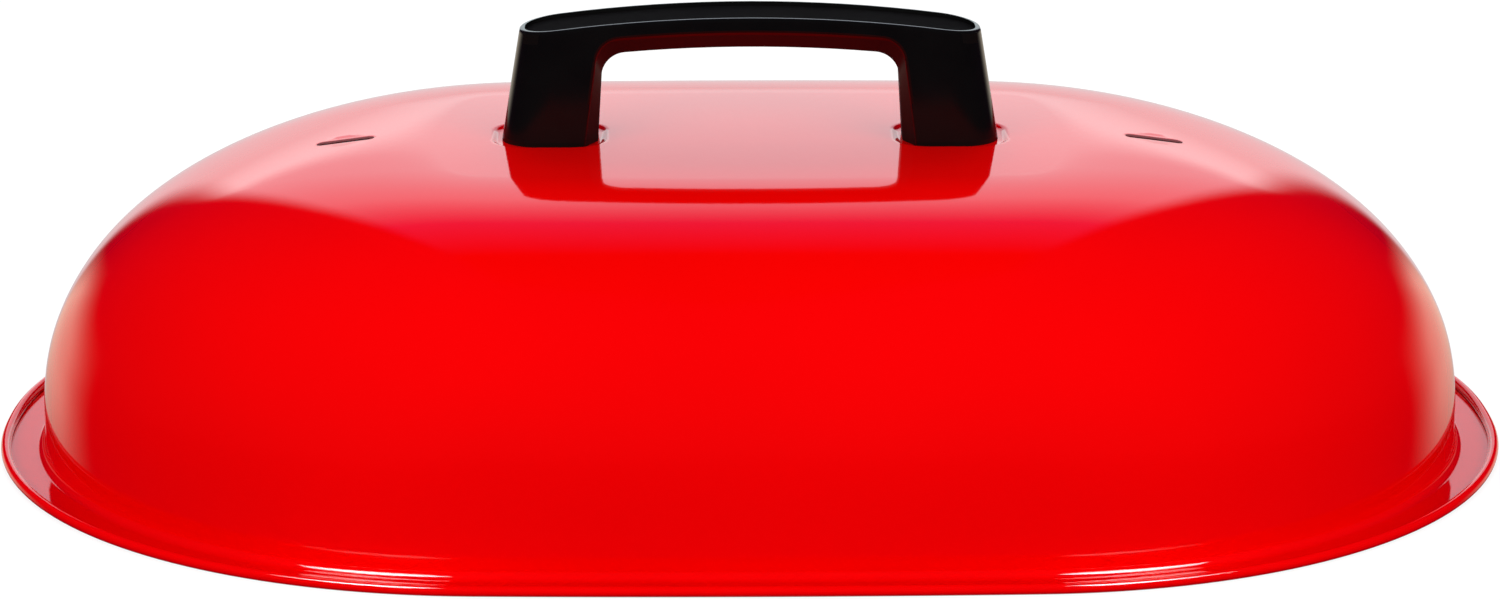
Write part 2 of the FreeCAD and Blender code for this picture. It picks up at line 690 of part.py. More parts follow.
def export(doc, parts):
    """Check the whole document, then write one STEP file for each piece."""
    for item in doc.Objects:
        if "Invalid" in item.State or "Error" in item.State:
            raise RuntimeError(f"{item.Name} did not compute: {item.State}")
    for part in parts:
        if part.Shape.isNull() or not part.Shape.isValid():
            raise RuntimeError(f"{part.Label} has no valid shape")
    os.makedirs("parts", exist_ok=True)
    for part in parts:
        part.Shape.exportStep(f"parts/{part.Label}.step")
        print(f"{part.Label}: {len(part.Shape.Solids)} solid, {part.Shape.Volume:.0f} mm3")


def main():
    doc = FreeCAD.newDocument("roaster_lid")
    size = Sizes(make_sheet(doc))
    seat = size.shell_height - size.seat_depth
    under = seat - size.sheet_gauge

    parts = [lid_shell(doc, size), handle(doc, size, Placement(Vector(0, 0, seat), Rotation()))]
    for name, side in (("left", -1), ("right", 1)):
        foot = side * size.foot_spacing / 2

        def at(height):
            return Placement(Vector(foot, 0, height), Rotation())

        washer_face = under - size.washer_thickness
        spring_face = washer_face - size.spring_thickness
        parts.append(insert(doc, size, f"handle_insert_{name}", at(seat + size.insert_recess)))
        parts.append(flat_washer(doc, size, f"flat_washer_{name}", at(washer_face)))
        parts.append(lock_washer(doc, size, f"lock_washer_{name}", at(spring_face)))
        parts.append(screw(doc, size, f"handle_screw_{name}", at(spring_face)))
    doc.recompute()
    export(doc, parts)


main()
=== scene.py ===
import bisect
import math

import bmesh
import bpy
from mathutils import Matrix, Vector
from mathutils.geometry import delaunay_2d_cdt


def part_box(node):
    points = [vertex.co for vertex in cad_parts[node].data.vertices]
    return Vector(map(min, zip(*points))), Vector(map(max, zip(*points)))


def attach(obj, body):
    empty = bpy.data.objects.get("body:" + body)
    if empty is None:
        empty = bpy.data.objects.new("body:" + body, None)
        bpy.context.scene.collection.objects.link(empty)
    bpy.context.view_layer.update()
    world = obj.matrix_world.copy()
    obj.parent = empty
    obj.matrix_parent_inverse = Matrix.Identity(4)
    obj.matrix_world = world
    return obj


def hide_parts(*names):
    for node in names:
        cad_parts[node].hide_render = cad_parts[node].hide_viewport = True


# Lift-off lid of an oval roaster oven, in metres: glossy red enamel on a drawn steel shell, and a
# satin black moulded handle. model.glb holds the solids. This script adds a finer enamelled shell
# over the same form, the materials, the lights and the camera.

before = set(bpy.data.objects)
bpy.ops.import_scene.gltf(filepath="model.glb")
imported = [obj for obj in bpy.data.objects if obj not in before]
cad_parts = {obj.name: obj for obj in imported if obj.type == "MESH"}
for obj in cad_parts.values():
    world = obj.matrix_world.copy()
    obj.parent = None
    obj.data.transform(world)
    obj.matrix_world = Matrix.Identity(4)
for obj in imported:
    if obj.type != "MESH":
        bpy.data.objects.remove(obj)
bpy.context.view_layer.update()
MM = 0.001
# The two sides, and what mirrors a place on the right to each.
SIDES = (("left", Vector((-1, 1, 1))), ("right", Vector((1, 1, 1))))


def place_of(node):
    """Middle of a CAD node's box."""
    low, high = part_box(node)
    return (low + high) / 2


# ---------------------------------------------------------------- sizes of the shell

_, SHELL_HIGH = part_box("lid_shell")
HALF_LENGTH = SHELL_HIGH.x
HALF_WIDTH = SHELL_HIGH.y
SHELL_TOP = SHELL_HIGH.z
FOOT_X = place_of("handle_screw_right").x

# An oval is half length, half width, end radius, half angle of the end arc and side radius.
END_RADIUS = 300 * MM
END_ANGLE = math.radians(2.2)
SIDE_RADIUS = 3000 * MM
CROWN = (109.5 * MM, 62.5 * MM, 160 * MM, math.radians(18), 1200 * MM)
END_FULLNESS = 2.46
SIDE_FULLNESS = 3.1
GAUGE = 0.7 * MM
BEAD_RADIUS = 1.75 * MM
BEAD_GAP = 0.35 * MM
RIM_WIDTH = 15.2 * MM
RIM_BEND = 3 * MM
SKIRT_HEIGHT = 9 * MM

SEAT_DEPTH = 1 * MM
SEAT_FLOOR = (17.5 * MM, 16.2 * MM)
SEAT_CORNER = 10 * MM
SEAT_SLOPE = 2.8 * MM
SCREW_HOLE_RADIUS = 2.75 * MM
VENT_X = 139.5 * MM
VENT_HALF_LENGTH = 9.75 * MM
VENT_RADIUS = 2.1 * MM
VENT_EDGE = 0.3 * MM

# Columns of the mesh on the three arcs of each quadrant, and rows on the dome.
ARC_STEPS = (10, 46, 14)
DOME_ROWS = 72
LOOP = 4 * sum(ARC_STEPS)
SEAT_STEPS = 12
HOLE_STEPS = 24
CORNER_STEPS = 10
BEND_STEPS = 10
ROLL_INSIDE_STEPS = 22
ROLL_OUTSIDE_STEPS = 26
FLANGE_SHARES = (0.75, 0.5, 0.25)
# Narrow strip that keeps the shading of level faces level beside a curved one.
CAP_EDGE = 0.5 * MM
# Round a slot: reach of the rows that its patch replaces, rings of points on its rounded edge as shares
# of that edge, one plain ring outside it, and the distance that is clear of the dome's own points.
VENT_PATCH_REACH = 15 * MM
VENT_EDGE_SHARES = (0.0, 0.3, 0.65, 1.0)
VENT_RING = 1.5 * MM
VENT_CLEAR = 2.4 * MM
# Share by which a slot's ends are round: just under 1, so that no two of its points meet.
VENT_ROUNDNESS = 0.9999
SURFACE_STEPS = 600
SURFACE_ROUNDS = 4
SHARP_ANGLE = math.radians(50)
PLAN_TOLERANCE = 1e-9
# What Blender's triangulation calls the output that has triangles inside the outer loop alone.
TRIANGLES_INSIDE = 1


# ---------------------------------------------------------------- outline and section


def quadrant(half_length, half_width, end_radius, end_angle, side_radius):
    """Points of three tangent arcs from (half_length, 0) to (0, half_width)."""
    end_centre = Vector((half_length - end_radius, 0))
    side_centre = Vector((0, half_width - side_radius))
    outwards = Vector((math.cos(end_angle), math.sin(end_angle)))
    corner_start = end_centre + outwards * end_radius
    from_side = corner_start - side_centre
    shortfall = side_radius ** 2 - from_side.length_squared
    corner_radius = shortfall / (2 * (side_radius - outwards.dot(from_side)))
    corner_centre = corner_start - outwards * corner_radius
    to_corner = corner_centre - side_centre
    side_angle = math.atan2(to_corner.y, to_corner.x)
    arcs = (
        (end_centre, end_radius, 0.0, end_angle),
        (corner_centre, corner_radius, end_angle, side_angle),
        (side_centre, side_radius, side_angle, math.pi / 2),
    )
    points = []
    for (centre, radius, start, stop), steps in zip(arcs, ARC_STEPS):
        for step in range(steps):
            angle = start + (stop - start) * step / steps
            points.append((centre.x + radius * math.cos(angle), centre.y + radius * math.sin(angle)))
    return points + [(0.0, half_width)]


def oval(*sizes):
    """Closed oval as LOOP points, anticlockwise from the +X end."""
    first = quadrant(*sizes)
    second = [(-x, y) for x, y in first[::-1]]
    third = [(-x, -y) for x, y in first]
    fourth = [(x, -y) for x, y in first[::-1]]
    return first[:-1] + second[:-1] + third[:-1] + fourth[:-1]


def rim_oval(inset):
    """Measures of the lid's outline moved inwards."""
    return HALF_LENGTH - inset, HALF_WIDTH - inset, END_RADIUS - inset, END_ANGLE, SIDE_RADIUS - inset


def dome_share(up, fullness):
    """How far the dome has come out from crown to skirt, as a share, at a share of its height."""
    return math.sqrt(1 - up ** fullness)


def dome_oval(up, gauge):
    """Measures of the dome's oval at a share of its height above the skirt."""
    endwards, sidewards = dome_share(up, END_FULLNESS), dome_share(up, SIDE_FULLNESS)
    shares = (endwards, sidewards, endwards, (endwards + sidewards) / 2, sidewards)
    skirt = rim_oval(RIM_WIDTH + gauge)
    return [inner + (outer - inner) * share for inner, outer, share in zip(CROWN, skirt, shares)]


def dome_height(up, gauge):
    """Height above the rim's underside at a share of the dome's height."""
    return SKIRT_HEIGHT + (SHELL_TOP - gauge - SKIRT_HEIGHT) * up


def dome_levels():
    """Heights of the dome's rows as shares, close together where the form bends most."""
    angles = [math.pi / 2 * row / DOME_ROWS for row in range(DOME_ROWS)]
    return [math.cos(angle) ** (2 / END_FULLNESS) for angle in angles] + [0.0]


def rim_profile():
    """Rim section from the skirt outwards over the roll and back to the skirt's inner face.

    Each point is (inset from the lid's outline, height).
    """
    outer_bend, inner_bend = RIM_BEND, RIM_BEND + GAUGE
    roll_in = BEAD_RADIUS - GAUGE
    bend_inset = RIM_WIDTH - RIM_BEND
    bend_height = GAUGE + RIM_BEND
    roll_end = math.pi + math.asin((BEAD_RADIUS - GAUGE - BEAD_GAP) / BEAD_RADIUS)

    def arc(inset, height, radius, start, stop, steps):
        turns = [start + (stop - start) * step / steps for step in range(steps + 1)]
        return [(inset - radius * math.cos(turn), height + radius * math.sin(turn)) for turn in turns]

    quarter = math.pi / 2
    top = arc(bend_inset, bend_height, outer_bend, math.pi, 3 * quarter, BEND_STEPS)
    flange = [(bend_inset * share + BEAD_RADIUS * (1 - share), GAUGE) for share in FLANGE_SHARES]
    roll_inside = arc(BEAD_RADIUS, BEAD_RADIUS, roll_in, -quarter, roll_end, ROLL_INSIDE_STEPS)
    lip = roll_inside[-1], (BEAD_RADIUS - BEAD_RADIUS * math.cos(roll_end),
                            BEAD_RADIUS + BEAD_RADIUS * math.sin(roll_end))
    lip_middle = tuple((a + b) / 2 for a, b in zip(*lip))
    roll_outside = arc(BEAD_RADIUS, BEAD_RADIUS, BEAD_RADIUS, roll_end, -quarter, ROLL_OUTSIDE_STEPS)
    underside = [(inset, 0.0) for inset, _ in flange[::-1]]
    bottom = arc(bend_inset, bend_height, inner_bend, 3 * quarter, math.pi, BEND_STEPS)
    return top + flange + roll_inside + [lip_middle] + roll_outside + underside + bottom


# ---------------------------------------------------------------- patches with holes


def rounded_rectangle(middle_x, half_x, half_y, corner):
    """Closed loop of a rounded rectangle whose middle is on the X axis."""
    points = []
    for side_x, side_y, start in ((1, 1, 0.0), (-1, 1, 0.5), (-1, -1, 1.0), (1, -1, 1.5)):
        for step in range(CORNER_STEPS + 1):
            angle = math.pi * (start + 0.5 * step / CORNER_STEPS)
            points.append((middle_x + side_x * (half_x - corner) + corner * math.cos(angle),
                           side_y * (half_y - corner) + corner * math.sin(angle)))
    return points


def inside(point, loop):
    """Whether a point of the plan lies inside a closed loop."""
    x, y = point
    found = False
    for (ax, ay), (bx, by) in zip(loop, loop[1:] + loop[:1]):
        if (ay > y) != (by > y) and x < (bx - ax) * (y - ay) / (by - ay) + ax:
            found = not found
    return found


def fill(loops, holes, loose=()):
    """Points of closed loops with loose points between them, and triangles that join them.

    The points are (x, y, z). The triangles are found in the plan and left out inside the holes.
    """
    points, edges = [], []
    for loop in loops:
        first = len(points)
        points += loop
        edges += [(first + place, first + (place + 1) % len(loop)) for place in range(len(loop))]
    points += loose
    plan = [Vector(point[:2]) for point in points]
    _, _, faces, sources, *_ = delaunay_2d_cdt(plan, edges, [], TRIANGLES_INSIDE, PLAN_TOLERANCE)
    triangles = []
    for face in faces:
        triangle = [sources[corner][0] for corner in face]
        middle = sum((plan[corner] for corner in triangle), Vector((0, 0))) / 3
        if not any(inside(middle, hole) for hole in holes):
            triangles.append(triangle)
    return points, triangles


class ShellMesh:
    """Collects the shell's vertices and faces, and joins vertices at one place."""

    def __init__(self):
        self.places = {}
        self.faces = []

    def vertices(self, points):
        return [self.places.setdefault(point, len(self.places)) for point in points]

    def band(self, lower, upper, skip=()):
        """Quads between two loops of vertices, but for those at the places to skip."""
        for place in range(len(lower)):
            if place not in skip:
                after = (place + 1) % len(lower)
                self.faces.append([lower[place], lower[after], upper[after], upper[place]])

    def patch(self, points, triangles):
        corners = self.vertices(points)
        self.faces += [[corners[corner] for corner in triangle] for triangle in triangles]

    def data(self, name):
        data = bpy.data.meshes.new(name)
        data.from_pydata(list(self.places), [], self.faces)
        tidy = bmesh.new()
        tidy.from_mesh(data)
        bmesh.ops.recalc_face_normals(tidy, faces=tidy.faces)
        tidy.to_mesh(data)
        tidy.free()
        data.shade_smooth()
        data.set_sharp_from_angle(angle=SHARP_ANGLE)
        return data


def at_height(plan, height):
    """Points of the plan lifted to one height."""
    return [(x, y, height) for x, y in plan]


def seat_fall(x, y):
    """How far the handle seat lowers the crown at a place."""
    dx = abs(abs(x) - FOOT_X) - (SEAT_FLOOR[0] - SEAT_CORNER)
    dy = abs(y) - (SEAT_FLOOR[1] - SEAT_CORNER)
    outside = math.hypot(max(dx, 0), max(dy, 0)) + min(max(dx, dy), 0) - SEAT_CORNER
    share = min(max(outside / SEAT_SLOPE, 0), 1)
    return SEAT_DEPTH * (1 + math.cos(math.pi * share)) / 2


def hole_loop(side):
    """Edge of the screw hole under one foot."""
    turns = [math.tau * step / HOLE_STEPS for step in range(HOLE_STEPS)]
    middle, radius = side * FOOT_X, SCREW_HOLE_RADIUS
    return [(middle + radius * math.cos(turn), radius * math.sin(turn)) for turn in turns]


def crown_cap(mesh, gauge):
    """Level crown with the two pressed handle seats and the screw holes."""
    height = dome_height(1.0, gauge)
    edge = dome_oval(1.0, gauge)
    plans = [oval(*edge), oval(edge[0] - CAP_EDGE, edge[1] - CAP_EDGE, *edge[2:])]
    margins = [SEAT_SLOPE * step / SEAT_STEPS for step in range(SEAT_STEPS + 1)]
    for side in (-1, 1):
        for margin in margins + [SEAT_SLOPE + CAP_EDGE]:
            half_x, half_y = SEAT_FLOOR[0] + margin, SEAT_FLOOR[1] + margin
            plans.append(rounded_rectangle(side * FOOT_X, half_x, half_y, SEAT_CORNER + margin))
    holes = [hole_loop(side) for side in (-1, 1)]
    loops = [[(x, y, height - seat_fall(x, y)) for x, y in plan] for plan in plans + holes]
    mesh.patch(*fill(loops, holes))
    return [mesh.vertices(loop) for loop in loops[-2:]]


def vent_loop(side, growth=0.0):
    """Outline of a steam slot, grown by a distance."""
    radius = VENT_RADIUS + growth
    half_length = VENT_HALF_LENGTH + growth
    return rounded_rectangle(side * VENT_X, half_length, radius, radius * VENT_ROUNDNESS)


class EndSurface:
    """Height of the dome near the X axis, where its ovals are single arcs."""

    def __init__(self, gauge):
        self.rows = []
        for step in range(SURFACE_STEPS + 1):
            up = 1 - (step / SURFACE_STEPS) ** 2
            half_length, _, end_radius, *_ = dome_oval(up, gauge)
            self.rows.append((half_length, end_radius, dome_height(up, gauge)))

    def __call__(self, x, y):
        radius = self.rows[0][1]
        for _ in range(SURFACE_ROUNDS):
            half_length = abs(x) + radius - math.sqrt(radius ** 2 - y ** 2)
            radius, height = self.look_up(half_length)
        return height

    def look_up(self, half_length):
        """End radius and height of the oval that reaches a place on the X axis."""
        place = bisect.bisect(self.rows, (half_length,))
        a, b = self.rows[place - 1], self.rows[place]
        share = (half_length - a[0]) / (b[0] - a[0])
        return a[1] + (b[1] - a[1]) * share, a[2] + (b[2] - a[2]) * share


def add_dome(mesh, gauge, is_outside):
    """Crown and dome of one face of the sheet. Returns its skirt, and the loops of its holes."""
    levels = dome_levels()
    plans = [oval(*dome_oval(up, gauge)) for up in levels]
    rows = [at_height(plan, dome_height(up, gauge)) for plan, up in zip(plans, levels)]
    near = [row for row, plan in enumerate(plans) if abs(plan[0][0] - VENT_X) < VENT_PATCH_REACH]
    reach = ARC_STEPS[0]
    window = [place % LOOP for place in range(-reach, reach)]
    skip = set(window) | {(place + LOOP // 2) % LOOP for place in window}
    loops = [mesh.vertices(row) for row in rows]
    for row in range(DOME_ROWS):
        mesh.band(loops[row + 1], loops[row], skip if near[0] <= row < near[-1] else ())
    surface = EndSurface(gauge)
    holes = crown_cap(mesh, gauge)
    for side, middle in ((1, 0), (-1, LOOP // 2)):
        columns = [(middle + place) % LOOP for place in range(-reach, reach + 1)]
        grid = [[rows[row][column] for column in columns] for row in near]
        holes.append(add_vent(mesh, grid, surface, side, is_outside))
    return loops[-1], holes


def add_vent(mesh, grid, surface, side, is_outside):
    """Piece of the dome round a steam slot: a grid of the dome's own points, cut by the slot."""
    edge = grid[0] + [line[-1] for line in grid[1:-1]] + grid[-1][::-1]
    edge += [line[0] for line in grid[-2:0:-1]]
    clear = vent_loop(side, VENT_CLEAR)
    loose = [point for line in grid[1:-1] for point in line[1:-1] if not inside(point[:2], clear)]
    growths = [VENT_EDGE * share for share in VENT_EDGE_SHARES] if is_outside else [0.0]
    loops = [edge]
    for growth in growths + [VENT_RING]:
        fall = vent_rounding(growth) if is_outside else 0.0
        loops.append([(x, y, surface(x, y) - fall) for x, y in vent_loop(side, growth)])
    mesh.patch(*fill(loops, [vent_loop(side)], loose))
    return mesh.vertices(loops[1])


def vent_rounding(growth):
    """Fall of the enamel over the rounded upper edge of a slot, at a distance from the slot."""
    inwards = max(1 - growth / VENT_EDGE, 0)
    return VENT_EDGE * (1 - math.sqrt(1 - inwards ** 2))


def shell_object():
    """The enamelled shell as one closed mesh."""
    mesh = ShellMesh()
    previous, holes_above = add_dome(mesh, 0.0, True)
    for inset, height in rim_profile():
        following = mesh.vertices(at_height(oval(*rim_oval(inset)), height))
        mesh.band(following, previous)
        previous = following
    inner_skirt, holes_below = add_dome(mesh, GAUGE, False)
    mesh.band(inner_skirt, previous)
    for above, below in zip(holes_above, holes_below):
        mesh.band(above, below)
    shell = bpy.data.objects.new("enamel_shell", mesh.data("enamel_shell"))
    bpy.context.scene.collection.objects.link(shell)
    return shell


# ---------------------------------------------------------------- materials


class Nodes:
    """A node tree with short ways to add nodes and links."""

    def __init__(self, tree):
        self.nodes = tree.nodes
        self.links = tree.links

    def add(self, kind, **settings):
        """New node. A setting that names an input is its value, or a socket to link to it."""
        node = self.nodes.new("ShaderNode" + kind)
        for name, value in settings.items():
            if hasattr(node, name):
                setattr(node, name, value)
            else:
                self.put(node, name.replace("_", " "), value)
        return node

    def put(self, node, name, value):
        """Set an input to a value, or link it to a socket."""
        if isinstance(value, bpy.types.NodeSocket):
            self.links.new(value, node.inputs[name])
        else:
            node.inputs[name].default_value = value

    def maths(self, operation, first, second=0.0):
        """Result of one sum with numbers or sockets."""
        node = self.nodes.new("ShaderNodeMath")
        node.operation = operation
        self.put(node, 0, first)
        self.put(node, 1, second)
        return node.outputs[0]

    def step(self, value, low, high):
        """Smooth step from 0 at the low end to 1 at the high end."""
        node = self.nodes.new("ShaderNodeMapRange")
        node.interpolation_type = "SMOOTHSTEP"
        self.put(node, "Value", value)
        self.put(node, "From Min", low)
        self.put(node, "From Max", high)
        return node.outputs["Result"]

    def ramp(self, value, stops):
        """Colour at a value between stops of (position, colour)."""
        node = self.nodes.new("ShaderNodeValToRGB")
        elements = node.color_ramp.elements
        for place, (position, colour) in enumerate(stops):
            element = elements[place] if place < 2 else elements.new(position)
            element.position = position
            element.color = (*colour, 1)
        self.put(node, "Fac", value)
        return node.outputs["Color"]

    def place(self):
        """Place on the object, as X, Y and Z."""
        return self.add("SeparateXYZ", Vector=self.add("TexCoord").outputs["Object"]).outputs

    def noise(self, scale, detail=2.0):
        place = self.add("TexCoord").outputs["Object"]
        return self.add("TexNoise", Vector=place, Scale=scale, Detail=detail).outputs["Fac"]

    def bump(self, height, strength, distance):
        return self.add("Bump", Height=height, Strength=strength, Distance=distance).outputs["Normal"]

    def mix(self, share, first, second):
        """Shader that goes from the first to the second as the share rises."""
        node = self.nodes.new("ShaderNodeMixShader")
        for place, value in enumerate((share, first, second)):
            self.put(node, place, value)
        return node.outputs["Shader"]

    def blend(self, share, first, second):
        """Colour that goes from the first to the second as the share rises."""
        node = self.nodes.new("ShaderNodeMix")
        node.data_type = "RGBA"
        for place, value in ((0, share), (6, first), (7, second)):
            self.put(node, place, value)
        return node.outputs[2]


def new_material(name):
    """Material with its node tree and its Principled shader."""
    material = bpy.data.materials.new(name)
    material.use_nodes = True
    return material, Nodes(material.node_tree), material.node_tree.nodes["Principled BSDF"]


# A ramp over noise goes from its first colour to its second between these values.
NOISE_LOW = 0.3
NOISE_HIGH = 0.7

RED_DEEP = (0.60, 0.0, 0.0)
RED_LIGHT = (0.63, 0.0, 0.0)
RED_SCALE = 9
RED_ROUGHNESS = 0.06
RED_IOR = 1.5
PEEL_SCALE = 420
PEEL_DETAIL = 1
PEEL_STRENGTH = 0.02
PEEL_DEPTH = 0.2 * MM
# Brown painted shade on the walls and edges of the steam slots, where the slot falls dark.
SLOT_PAINTED_SHADE = (0.17, 0.05, 0.055, 1)
SLOT_SHADE_MARGIN = 0.3 * MM


def slot_shade_share(tree):
    """1 inside the steam slots and on their edges, where shade is painted brown, 0 elsewhere."""
    place = tree.place()
    along = tree.maths("ABSOLUTE", tree.maths("SUBTRACT", tree.maths("ABSOLUTE", place["X"]), VENT_X))
    beyond = tree.maths("MAXIMUM", tree.maths("SUBTRACT", along, VENT_HALF_LENGTH - VENT_RADIUS), 0)
    reach_squared = tree.maths("ADD", tree.maths("POWER", place["Y"], 2), tree.maths("POWER", beyond, 2))
    return tree.maths("LESS_THAN", reach_squared, (VENT_RADIUS + SLOT_SHADE_MARGIN) ** 2)


def enamel_material():
    """Glossy red enamel with a faint orange peel and slight variation, and brown painted shade in and by
    the slots.
    """
    material, tree, shader = new_material("red_enamel")
    red = tree.ramp(tree.noise(RED_SCALE), ((NOISE_LOW, RED_DEEP), (NOISE_HIGH, RED_LIGHT)))
    tree.put(shader, "Base Color", tree.blend(slot_shade_share(tree), red, SLOT_PAINTED_SHADE))
    tree.put(shader, "Roughness", RED_ROUGHNESS)
    tree.put(shader, "IOR", RED_IOR)
    tree.put(shader, "Normal", tree.bump(tree.noise(PEEL_SCALE, PEEL_DETAIL), PEEL_STRENGTH, PEEL_DEPTH))
    return material


# The handle's top bends about an axis along Y, below the lid. By distance from that axis, the sunk
# panel's floor lies between its underside and the start of its rim, and the arch's inside lies lower.
PANEL_AXIS_Z = -370.2 * MM
PANEL_UNDERSIDE = 514 * MM
PANEL_RIM = (517.0 * MM, 517.6 * MM)
PANEL_HALF_LENGTH = 77.4 * MM
PANEL_HALF_WIDTH = 13.5 * MM
PANEL_ROUGHNESS = 1.0
ARCH_RADIUS = 512 * MM
ARCH_HALF_LENGTH = 62 * MM
ARCH_HALF_WIDTH = 14 * MM
ARCH_ROUGHNESS = 0.5
GLOSS_ROUGHNESS = 0.14
BLACK_DEEP = (0.0018, 0.0018, 0.0018)
BLACK_LIGHT = (0.0026, 0.0026, 0.0025)
BLACK_SCALE = 60
BLACK_IOR = 1.3
GRAIN_SCALE = 1500
GRAIN_STRENGTH = 0.06
GRAIN_DEPTH = 0.1 * MM


def handle_place(tree):
    """Distances on the handle from its middle along X and Y, and from the axis that it bends about."""
    place = tree.place()
    rise = tree.maths("SUBTRACT", place["Z"], PANEL_AXIS_Z)
    squares = tree.maths("ADD", tree.maths("POWER", place["X"], 2), tree.maths("POWER", rise, 2))
    reaches = [tree.maths("ABSOLUTE", place[axis]) for axis in "XY"]
    return *reaches, tree.maths("SQRT", squares)


def within(tree, reaches, limits):
    """1 where each reach is under its limit, 0 elsewhere."""
    share = 1.0
    for reach, limit in zip(reaches, limits):
        share = tree.maths("MULTIPLY", share, tree.maths("LESS_THAN", reach, limit))
    return share


def panel_share(tree, along, across, radius):
    """1 on the floor of the sunk panel in the top of the handle, 0 elsewhere."""
    top = tree.maths("GREATER_THAN", radius, PANEL_UNDERSIDE)
    floor = tree.maths("MULTIPLY", top, tree.step(radius, *PANEL_RIM[::-1]))
    inside_rim = within(tree, (along, across), (PANEL_HALF_LENGTH, PANEL_HALF_WIDTH))
    return tree.maths("MULTIPLY", floor, inside_rim)


def handle_roughness(tree):
    """Gloss but for the matt floor of the panel and the duller inside of the arch."""
    place = handle_place(tree)
    arch = within(tree, place, (ARCH_HALF_LENGTH, ARCH_HALF_WIDTH, ARCH_RADIUS))
    roughness = GLOSS_ROUGHNESS
    for share, dull in ((panel_share(tree, *place), PANEL_ROUGHNESS), (arch, ARCH_ROUGHNESS)):
        added = tree.maths("MULTIPLY", share, dull - GLOSS_ROUGHNESS)
        roughness = tree.maths("ADD", added, roughness)
    return roughness


def handle_material():
    """Black phenolic moulding, matt in the sunk panel of its top and duller inside its arch."""
    material, tree, shader = new_material("black_moulding")
    shades = ((NOISE_LOW, BLACK_DEEP), (NOISE_HIGH, BLACK_LIGHT))
    tree.put(shader, "Base Color", tree.ramp(tree.noise(BLACK_SCALE), shades))
    tree.put(shader, "Roughness", handle_roughness(tree))
    tree.put(shader, "IOR", BLACK_IOR)
    tree.put(shader, "Normal", tree.bump(tree.noise(GRAIN_SCALE), GRAIN_STRENGTH, GRAIN_DEPTH))
    return material


BRASS = ((0.62, 0.40, 0.14), (0.72, 0.48, 0.19), 0.3)
ZINC = ((0.55, 0.56, 0.58), (0.66, 0.67, 0.69), 0.28)
MARK_SCALE = 800
MARK_STRENGTH = 0.1
MARK_DEPTH = 0.1 * MM


def metal_material(name, dark, light, roughness):
    """Plain metal with fine turning marks."""
    material, tree, shader = new_material(name)
    marks = tree.noise(MARK_SCALE)
    tree.put(shader, "Base Color", tree.ramp(marks, ((NOISE_LOW, dark), (NOISE_HIGH, light))))
    tree.put(shader, "Metallic", 1)
    tree.put(shader, "Roughness", roughness)
    tree.put(shader, "Normal", tree.bump(marks, MARK_STRENGTH, MARK_DEPTH))
    return material


def dress(node, material):
    """Give a carried-over CAD node its material."""
    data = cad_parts[node].data
    data.materials.clear()
    data.materials.append(material)


# ---------------------------------------------------------------- studio

CAMERA_PLACE = Vector((-0.0165, -1.4298, 0.4536))
CAMERA_FALL = math.radians(15.97)
CAMERA_TURN = math.radians(-0.66)
CAMERA_LENS = 102.35
CAMERA_SENSOR = 36
CAMERA_REACH = 50


def add_camera():
    """Camera at the photograph's viewing angle."""
    data = bpy.data.cameras.new("camera")
    data.lens = CAMERA_LENS
    data.sensor_width = CAMERA_SENSOR
    data.clip_end = CAMERA_REACH
    camera = bpy.data.objects.new("camera", data)
    camera.location = CAMERA_PLACE
    camera.rotation_euler = (math.pi / 2 - CAMERA_FALL, 0, CAMERA_TURN)
    bpy.context.scene.collection.objects.link(camera)
    bpy.context.scene.camera = camera


LAMP_SIZE = (1.4, 1.2)
LAMP_TARGET = Vector((0, 0, 0.05))
KEY_PLACE = Vector((1.4, -1.6, 0.86))
KEY_POWER = 33.5
BACK_PLACE = Vector((0, 1.6, 1.65))
BACK_POWER = 20

GLINT_PLACE = Vector((147, -190, 61)) * MM
GLINT_TARGET = Vector((121, -162, 3)) * MM
GLINT_SIZE = (75 * MM, 40 * MM)
GLINT_POWER = 0.02
GLINT_SPREAD = math.radians(46)


def add_lamp(name, place, target, size, power):
    """Soft lamp that gloss doesn't show, because the world has its own studio for gloss."""
    data = bpy.data.lights.new(name, "AREA")
    data.shape = "RECTANGLE"
    data.size, data.size_y = size
    data.energy = power
    data.cycles.use_multiple_importance_sampling = False
    lamp = bpy.data.objects.new(name, data)
    lamp.location = place
    lamp.rotation_euler = (target - place).to_track_quat("-Z", "Y").to_euler()
    lamp.visible_camera = False
    lamp.visible_glossy = False
    bpy.context.scene.collection.objects.link(lamp)
    return lamp


def add_keys():
    """Two wide lamps at the front, one to either side."""
    for side, mirror in SIDES:
        add_lamp("key_" + side, KEY_PLACE * mirror, LAMP_TARGET, LAMP_SIZE, KEY_POWER)


def add_glints():
    """Small lamps by the rim that gloss alone shows, for the streaks along its bend and bead."""
    for side, mirror in SIDES:
        place, target = GLINT_PLACE * mirror, GLINT_TARGET * mirror
        lamp = add_lamp("glint_" + side, place, target, GLINT_SIZE, GLINT_POWER)
        lamp.data.spread = GLINT_SPREAD
        lamp.data.cycles.use_multiple_importance_sampling = True
        lamp.visible_glossy = True
        lamp.visible_diffuse = False


FLOOR_SIZE = 14
FLOOR_COLOUR = (0.12, 0.12, 0.12, 1)
FLOOR_ROUGHNESS = 0.9
# The camera sees this colour lit by the lamps, and this glow added to it.
FLOOR_SHADE = (0.2, 0.2, 0.2, 1)
FLOOR_GLOW = 0.8
# The floor doesn't glow inside an ellipse of this share of the lid's size.
FLOOR_COVER = 0.95


def floor_glow(tree):
    """Glow of the floor, but for the room under the lid."""
    place = tree.place()
    shares = [tree.maths("POWER", tree.maths("DIVIDE", place[axis], FLOOR_COVER * half), 2)
              for axis, half in (("X", HALF_LENGTH), ("Y", HALF_WIDTH))]
    open_floor = tree.maths("GREATER_THAN", tree.maths("ADD", *shares), 1)
    strength = tree.maths("MULTIPLY", open_floor, FLOOR_GLOW)
    return tree.add("Emission", Strength=strength).outputs["Emission"]


